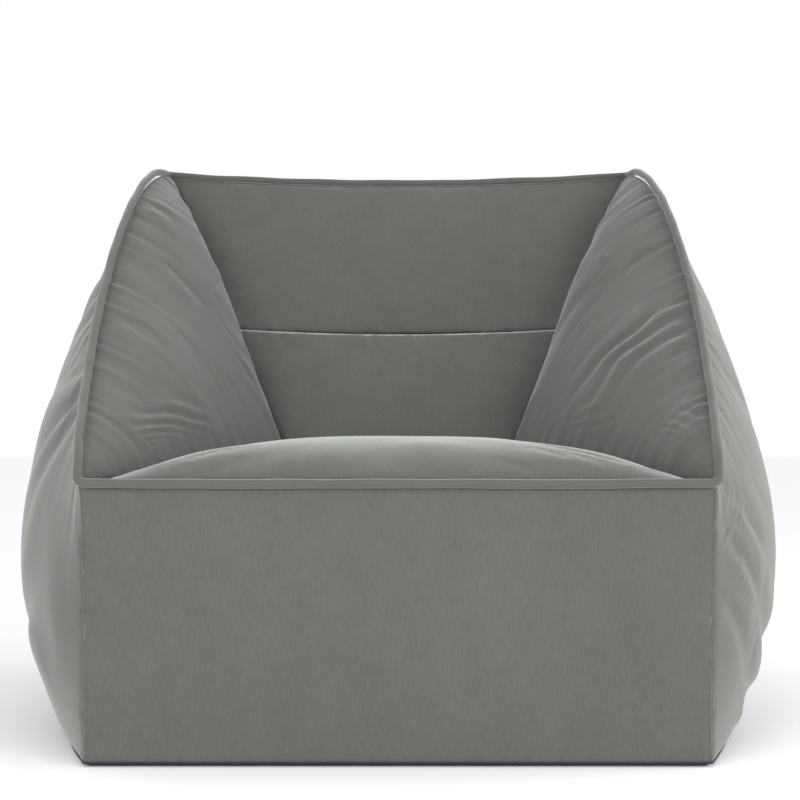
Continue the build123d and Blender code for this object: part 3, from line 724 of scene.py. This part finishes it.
# %% Tube along a closed loop


def loop_tube(path, outward, radius, sides):
    """Rings of points round a closed path. Each ring lies square to the path, its first point outwards, and
    radius is a number or one value for each ring. Returns points, faces and a UV in metres."""
    ahead = np.roll(path, -1, 0) - np.roll(path, 1, 0)
    ahead /= np.linalg.norm(ahead, axis=1)[:, None]
    first = outward - (outward * ahead).sum(-1, keepdims=True) * ahead
    first /= np.linalg.norm(first, axis=1)[:, None]
    second = np.cross(ahead, first)
    turn = np.linspace(0, 2 * np.pi, sides, endpoint=False)[None, :, None]
    radius = np.broadcast_to(radius, len(path))[:, None, None]
    rings = path[:, None] + radius * (np.cos(turn) * first[:, None] + np.sin(turn) * second[:, None])
    ring, side = np.indices((len(path), sides))
    here, beside = ring * sides + side, ring * sides + (side + 1) % sides
    on = sides * len(path)
    corners = np.stack([here, beside, (beside + sides) % on, (here + sides) % on], -1).reshape(-1, 4)
    travelled = np.concatenate([[0], np.cumsum(np.linalg.norm(np.diff(path, axis=0), axis=1))])
    uv = np.stack([side / sides * 0.031, travelled[ring]], -1).reshape(-1, 2)
    return rings.reshape(-1, 3), corners, uv


def join_bump(path, place, width):
    """1 at the point of the path nearest a place, falling away as a bell of the given width."""
    return np.exp(-(((path - np.array(place)) ** 2).sum(-1)) / width**2)


pipe_radius = PIPE_RADIUS * (1 + 0.02 * ripple(pipe_path, 0.05, 9))
pipe_radius += 0.0006 * join_bump(pipe_path, (-0.362, -0.255, 0.43), 0.010)
tube, corners, uv = loop_tube(pipe_path, pipe_out, pipe_radius, 16)
rim_piping = make_piece("rim_piping_velvet", tube, corners, uv, piping_velvet)
tube, corners, uv = loop_tube(pipe_path, pipe_out, 0.0030, 8)
rim_cord = make_piece("rim_piping_filler_cord", tube, corners, uv)
for piece, node, slot in ((rim_piping, "rim_piping", "cover_velvet"), (rim_cord, "rim_piping_cord", "cord")):
    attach(piece, "chair")
    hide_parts(node)
print("piping points", len(rim_piping.data.vertices))

# %% [markdown]
# ## Woven cloths
# The lining, the base, the filler cord's cover and the zip tape are all plain weaves at different scales, so
# one group makes the over-and-under of a plain weave from Object coordinates: two rows of rounded threads,
# swapped from square to square. Its size input is threads a metre. Its tone follows the threads' height, so
# the colour is lighter on the crowns and darker between the threads, which is painted shade, and random
# unevenness is added on top.

# %% Weave group
weave_group, weave_in, weave_out = new_group(
    "plain_weave", {"Threads": 1200.0, "Unevenness": 0.4}, ("Tone", "Height"))


def maths(tree, operation, *values):
    """A Math node whose inputs are sockets or plain numbers. Returns its output."""
    node = tree.nodes.new("ShaderNodeMath")
    node.operation = operation
    for socket, value in zip(node.inputs, values):
        if isinstance(value, (int, float)):
            socket.default_value = value
        else:
            tree.links.new(value, socket)
    return node.outputs[0]


weave_where = weave_group.nodes.new("ShaderNodeTexCoord")
weave_axes = weave_group.nodes.new("ShaderNodeSeparateXYZ")
weave_group.links.new(weave_where.outputs["Object"], weave_axes.inputs[0])
half_turns = maths(weave_group, "MULTIPLY", weave_in.outputs["Threads"], math.pi)
warp = maths(weave_group, "SINE", maths(weave_group, "MULTIPLY", weave_axes.outputs["X"], half_turns))
weft = maths(weave_group, "SINE", maths(weave_group, "MULTIPLY", maths(
    weave_group, "ADD", weave_axes.outputs["Y"], weave_axes.outputs["Z"]), half_turns))
over = maths(weave_group, "GREATER_THAN", maths(weave_group, "MULTIPLY", warp, weft), 0.0)
warp_up = maths(weave_group, "MULTIPLY", maths(weave_group, "ABSOLUTE", warp), over)
weft_height = maths(weave_group, "ABSOLUTE", weft)
weft_up = maths(weave_group, "MULTIPLY", weft_height, maths(weave_group, "SUBTRACT", 1.0, over))
relief = maths(weave_group, "ADD", warp_up, weft_up)
cloudy = noise_layer(weave_group, weave_where.outputs["Object"], (60, 60, 60), 4)
clouds = maths(weave_group, "SUBTRACT", cloudy, 0.5)
uneven = maths(weave_group, "MULTIPLY", clouds, weave_in.outputs["Unevenness"])
# Tone: the thread relief as painted shade, darker between the threads, plus random unevenness.
weave_group.links.new(maths(weave_group, "ADD", maths(weave_group, "MULTIPLY_ADD", relief, 0.6, 0.2), uneven),
                      weave_out.inputs["Tone"])
weave_group.links.new(relief, weave_out.inputs["Height"])
print("weave group sockets", [item.name for item in weave_group.interface.items_tree])

# %% Cloth, plastic and metal materials


def woven(name, dark, light, threads, uneven, roughness, relief, **constants):
    """A plain-woven cloth between two colours, its threads counted a metre and its relief in metres."""
    material, tree, shader = new_material(name, roughness, **constants)
    weave = tree.nodes.new("ShaderNodeGroup")
    weave.node_tree = weave_group
    weave.inputs["Threads"].default_value = threads
    weave.inputs["Unevenness"].default_value = uneven
    # The dark colour falls between the threads: painted shade, mixed with random unevenness.
    colour = tone_colour(tree, weave.outputs["Tone"], [(0.1, dark), (0.9, light)])
    tree.links.new(colour, shader.inputs["Base Color"])
    add_bump(tree, shader, weave.outputs["Height"], relief, 0.8)
    return material


def grained(name, dark, light, scale, roughness, swing, relief, **constants):
    """A moulded or lacquered surface: fine noise moves its colour, its roughness by swing, and its relief."""
    material, tree, shader = new_material(name, roughness, **constants)
    where = tree.nodes.new("ShaderNodeTexCoord").outputs["Object"]
    fine = noise_layer(tree, where, (scale, scale, scale), 5, 0.6)
    worn = noise_layer(tree, where, (scale / 9, scale / 9, scale / 9), 3)
    tree.links.new(tone_colour(tree, worn, [(0.25, dark), (0.75, light)]), shader.inputs["Base Color"])
    rough = maths(tree, "MULTIPLY_ADD", fine, swing, roughness - swing / 2)
    tree.links.new(rough, shader.inputs["Roughness"])
    add_bump(tree, shader, fine, relief, 0.5)
    return material


base_weave = woven("black_base_weave", (0.006, 0.006, 0.007), (0.022, 0.022, 0.024), 1400, 0.35, 0.62, 0.0002,
                   Specular_IOR_Level=0.35)
lining_weave = woven("lining_weave", (0.50, 0.50, 0.47), (0.72, 0.72, 0.69), 1800, 0.5, 0.9, 0.00015,
                     Sheen_Weight=0.1)
tape_weave = woven("zip_tape_weave", (0.020, 0.022, 0.020), (0.062, 0.066, 0.060), 2600, 0.4, 0.8, 0.0001,
                   Sheen_Weight=0.15)
cord_twist = woven("filler_cord_twist", (0.46, 0.44, 0.38), (0.78, 0.76, 0.70), 700, 0.6, 0.9, 0.0004)
coil_nylon = grained("coil_nylon", (0.030, 0.032, 0.030), (0.055, 0.058, 0.054), 4000, 0.42, 0.16, 0.00003,
                     Specular_IOR_Level=0.5)
slider_zinc = grained("slider_zinc", (0.045, 0.047, 0.046), (0.085, 0.087, 0.084), 2500, 0.36, 0.22, 0.00004,
                      Metallic=0.85, Coat_Weight=0.2, Coat_Roughness=0.25)
garage_velvet = velvet("slate_velvet_loop", VELVET_DARK, VELVET_LIGHT, 0.0, 0.4)
rim_cord.data.materials.append(cord_twist)
print("materials", len(bpy.data.materials))

# %% [markdown]
# ## Base
# The base is a black coated weave. Its edge is turned up a few millimetres where it meets the velvet, which
# is the dark line seen under the chair.

# %% Base piece
base_grid = finer(grids["base"], 1)
rows, columns = base_grid.shape[:2]
border = np.zeros((rows, columns), bool)
border[[0, -1]], border[:, [0, -1]] = True, True
base_grid[..., 2] = np.where(border, 0.0042, 0.0)
base_grid[..., :2] *= np.where(border, 1.0, 0.997)[..., None]
base_uv = base_grid[..., :2].reshape(-1, 2)
base_piece = make_piece("base_weave", base_grid.reshape(-1, 3), quads(rows, columns, facing["base"] < 0),
                        base_uv, base_weave)
cloth_wall(base_piece, 0.0014)
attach(base_piece, "chair")
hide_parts("base_panel")
print("base area", round(grid_area(base_grid), 3))

# %% [markdown]
# ## Bead bags
# Each chamber holds a lining bag of beads. A bag starts as a copy of its packed bead solid, remeshed
# evenly, smoothed and set back from the cover. The beads dent it from inside, which shows as shallow,
# uneven bumps. The bags lie inside the cover and keep clear of its folds.

# %% Bag helpers


def bag_start(node, cell, shrink):
    """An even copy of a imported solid, set back from it, made by a voxel remesh and smoothing."""
    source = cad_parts[node]
    piece = bpy.data.objects.new("bag", source.data.copy())
    scene.collection.objects.link(piece)
    shell = bmesh.new()
    shell.from_mesh(piece.data)
    bmesh.ops.remove_doubles(shell, verts=shell.verts, dist=0.00005)
    shell.to_mesh(piece.data)
    shell.free()
    remesh = piece.modifiers.new("even", "REMESH")
    remesh.mode, remesh.voxel_size = "VOXEL", cell
    smooth = piece.modifiers.new("smooth", "SMOOTH")
    smooth.iterations = 12
    ready = bpy.data.meshes.new_from_object(piece.evaluated_get(bpy.context.evaluated_depsgraph_get()))
    bpy.data.objects.remove(piece)
    at, way = np.empty(len(ready.vertices) * 3), np.empty(len(ready.vertices) * 3)
    ready.vertices.foreach_get("co", at)
    ready.vertices.foreach_get("normal", way)
    at, way = at.reshape(-1, 3) - shrink * way.reshape(-1, 3), way.reshape(-1, 3)
    return ready, at, way


def bead_dents(at, seed):
    """Height of the bag over the beads: lumps a few centimetres across, and small ones over a few beads."""
    return 0.0016 * ripple(at, 0.07, seed) + 0.0005 * np.abs(ripple(at, 0.018, seed + 1))


BAG_CELL, BAG_SET_BACK = 0.016, 0.020  # voxel size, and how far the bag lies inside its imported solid
BAGS = {"seat": 0.8, "left_arm": 0.85, "right_arm": 0.85, "upper_back": 0.8, "lower_back": 0.8}
for number, (name, fill) in enumerate(BAGS.items()):
    ready, at, way = bag_start(name + "_beads", BAG_CELL, BAG_SET_BACK)
    at += way * bead_dents(at, 70 + number)[:, None]
    ready.vertices.foreach_set("co", at.ravel())
    ready.materials.clear()
    ready.materials.append(lining_weave)
    ready.polygons.foreach_set("use_smooth", np.ones(len(ready.polygons), bool))
    piece = bpy.data.objects.new(name + "_bag", ready)
    scene.collection.objects.link(piece)
    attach(piece, "chair")
    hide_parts(name + "_liner", name + "_beads")
    print(name, "bag faces", len(ready.polygons))

for name, piece in cover_pieces.items():
    node, size, area, under = CUT[name]

# %% [markdown]
# ## Zip
# Each row of the zip is one nylon filament wound into a coil. The tapes, stops, slider, cloth loop and
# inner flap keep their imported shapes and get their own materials.

# %% Zip coils


def coil_points(x_from, x_to, y_at, z_at, pitch, radius, wire):
    """A wire wound as a helix along X: ten rings a turn, four points round each ring."""
    turns = (x_to - x_from) / pitch
    angle = np.linspace(0, 2 * np.pi * turns, int(turns * 10) + 1)
    out = np.stack([0 * angle, np.cos(angle), np.sin(angle)], -1)
    centre = np.stack([x_from + (x_to - x_from) * angle / angle[-1], y_at + radius * out[:, 1],
                       z_at + radius * out[:, 2]], -1)
    turn = np.linspace(0, 2 * np.pi, 4, endpoint=False)[None, :, None]
    rings = centre[:, None] + wire * (np.cos(turn) * out[:, None] + np.sin(turn) * np.array([1.0, 0, 0]))
    a = (np.arange(len(angle) - 1)[:, None] * 4 + np.arange(4)).ravel()
    b = (np.arange(len(angle) - 1)[:, None] * 4 + (np.arange(4) + 1) % 4).ravel()
    ends = np.array([[0, 1, 2, 3], len(rings) * 4 - np.arange(1, 5)])
    return rings.reshape(-1, 3), np.concatenate([np.stack([a, a + 4, b + 4, b], -1), ends])


for name, z_at in (("zip_upper_coil", 0.0520), ("zip_lower_coil", 0.0480)):
    at, corners = coil_points(-0.2555, 0.2555, 0.3687, z_at, 0.0016, 0.00082, 0.00036)
    piece = make_piece(name + "_wound", at, corners, None, coil_nylon)
    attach(piece, "chair")
    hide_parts(name)
    print(name, "faces", len(corners))

# %% Materials on the carried-over nodes
CARRIED = {
    "zip_upper_tape": tape_weave, "zip_lower_tape": tape_weave, "zip_left_stop": coil_nylon,
    "zip_right_stop": coil_nylon, "zip_slider": slider_zinc, "zip_garage": garage_velvet,
    "zip_guard_flap": lining_weave, "left_arm_divider": lining_weave, "right_arm_divider": lining_weave,
    "left_back_divider": lining_weave, "right_back_divider": lining_weave, "seat_back_divider": lining_weave,
}
for node, material in CARRIED.items():
    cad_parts[node].data.materials.clear()
    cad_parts[node].data.materials.append(material)
print("carried nodes", len(CARRIED))

# %% [markdown]
# ## Baffle
# The baffle hangs a little slack behind the backrest seam and slopes down towards the outer back. It is
# widest at the back and stops short of both covers.

# %% Baffle
slope, side_to_side = np.linspace(0, 1, 13)[:, None], np.linspace(-1, 1, 41)[None, :]
baffle = np.empty((13, 41, 3))
baffle_rear = 0.335 + 0.034 * np.cos(np.pi / 2 * side_to_side)
baffle[..., 1] = (float(lumbar_y) + 0.030) * (1 - slope) + baffle_rear * slope
baffle[..., 0] = side_to_side * (0.120 + 0.62 * (baffle[..., 1] - SEAT_REAR))
baffle[..., 2] = 0.470 - 0.24 * (baffle[..., 1] - float(lumbar_y)) - 0.006 * np.sin(np.pi * slope)
baffle_piece = make_piece("lumbar_baffle_cloth", baffle.reshape(-1, 3), quads(13, 41, True),
                          baffle[..., :2].reshape(-1, 2), lining_weave)
cloth_wall(baffle_piece, 0.0009)
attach(baffle_piece, "chair")
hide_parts("lumbar_baffle")
print("baffle area", round(grid_area(baffle), 4))

# %% [markdown]
# ## Floor and light
# The chair stands on a plain near-white floor in a white surround. Two large soft lights stand low in
# front, one to each side, and a third brightens the right-hand side, so the folds show without hard
# shadows.

# %% Floor, lights and surround
floor_mesh = bpy.data.meshes.new("floor")
floor_mesh.from_pydata([(-9, -9, 0), (9, -9, 0), (9, 9, 0), (-9, 9, 0)], [], [(0, 1, 2, 3)])
floor = bpy.data.objects.new("floor", floor_mesh)
scene.collection.objects.link(floor)
floor_paint, _, floor_shader = new_material("floor_paint", 0.9, Specular_IOR_Level=0.1)
floor_shader.inputs["Base Color"].default_value = (0.93, 0.93, 0.93, 1)
floor_mesh.materials.append(floor_paint)
LIGHTS = {  # place, size in metres, watts
    "key": ((-1.5, -3.2, 0.9), 1.6, 62),
    "fill": ((2.1, -2.8, 0.9), 1.6, 56),
    "edge": ((3.0, 0.1, 0.9), 1.4, 26),
}
for name, (place, size, watts) in LIGHTS.items():
    light = bpy.data.lights.new(name, "AREA")
    light.size, light.energy = size, watts
    lamp = bpy.data.objects.new(name, light)
    scene.collection.objects.link(lamp)
    lamp.location = place
    lamp.rotation_euler = (Vector((0, 0, 0.35)) - Vector(place)).to_track_quat("-Z", "Y").to_euler()
world = scene.world or bpy.data.worlds.new("surround")
scene.world = world
world.use_nodes = True
world.node_tree.nodes["Background"].inputs["Color"].default_value = (1, 1, 1, 1)
world.node_tree.nodes["Background"].inputs["Strength"].default_value = 1.0
scene.view_settings.view_transform = "Standard"
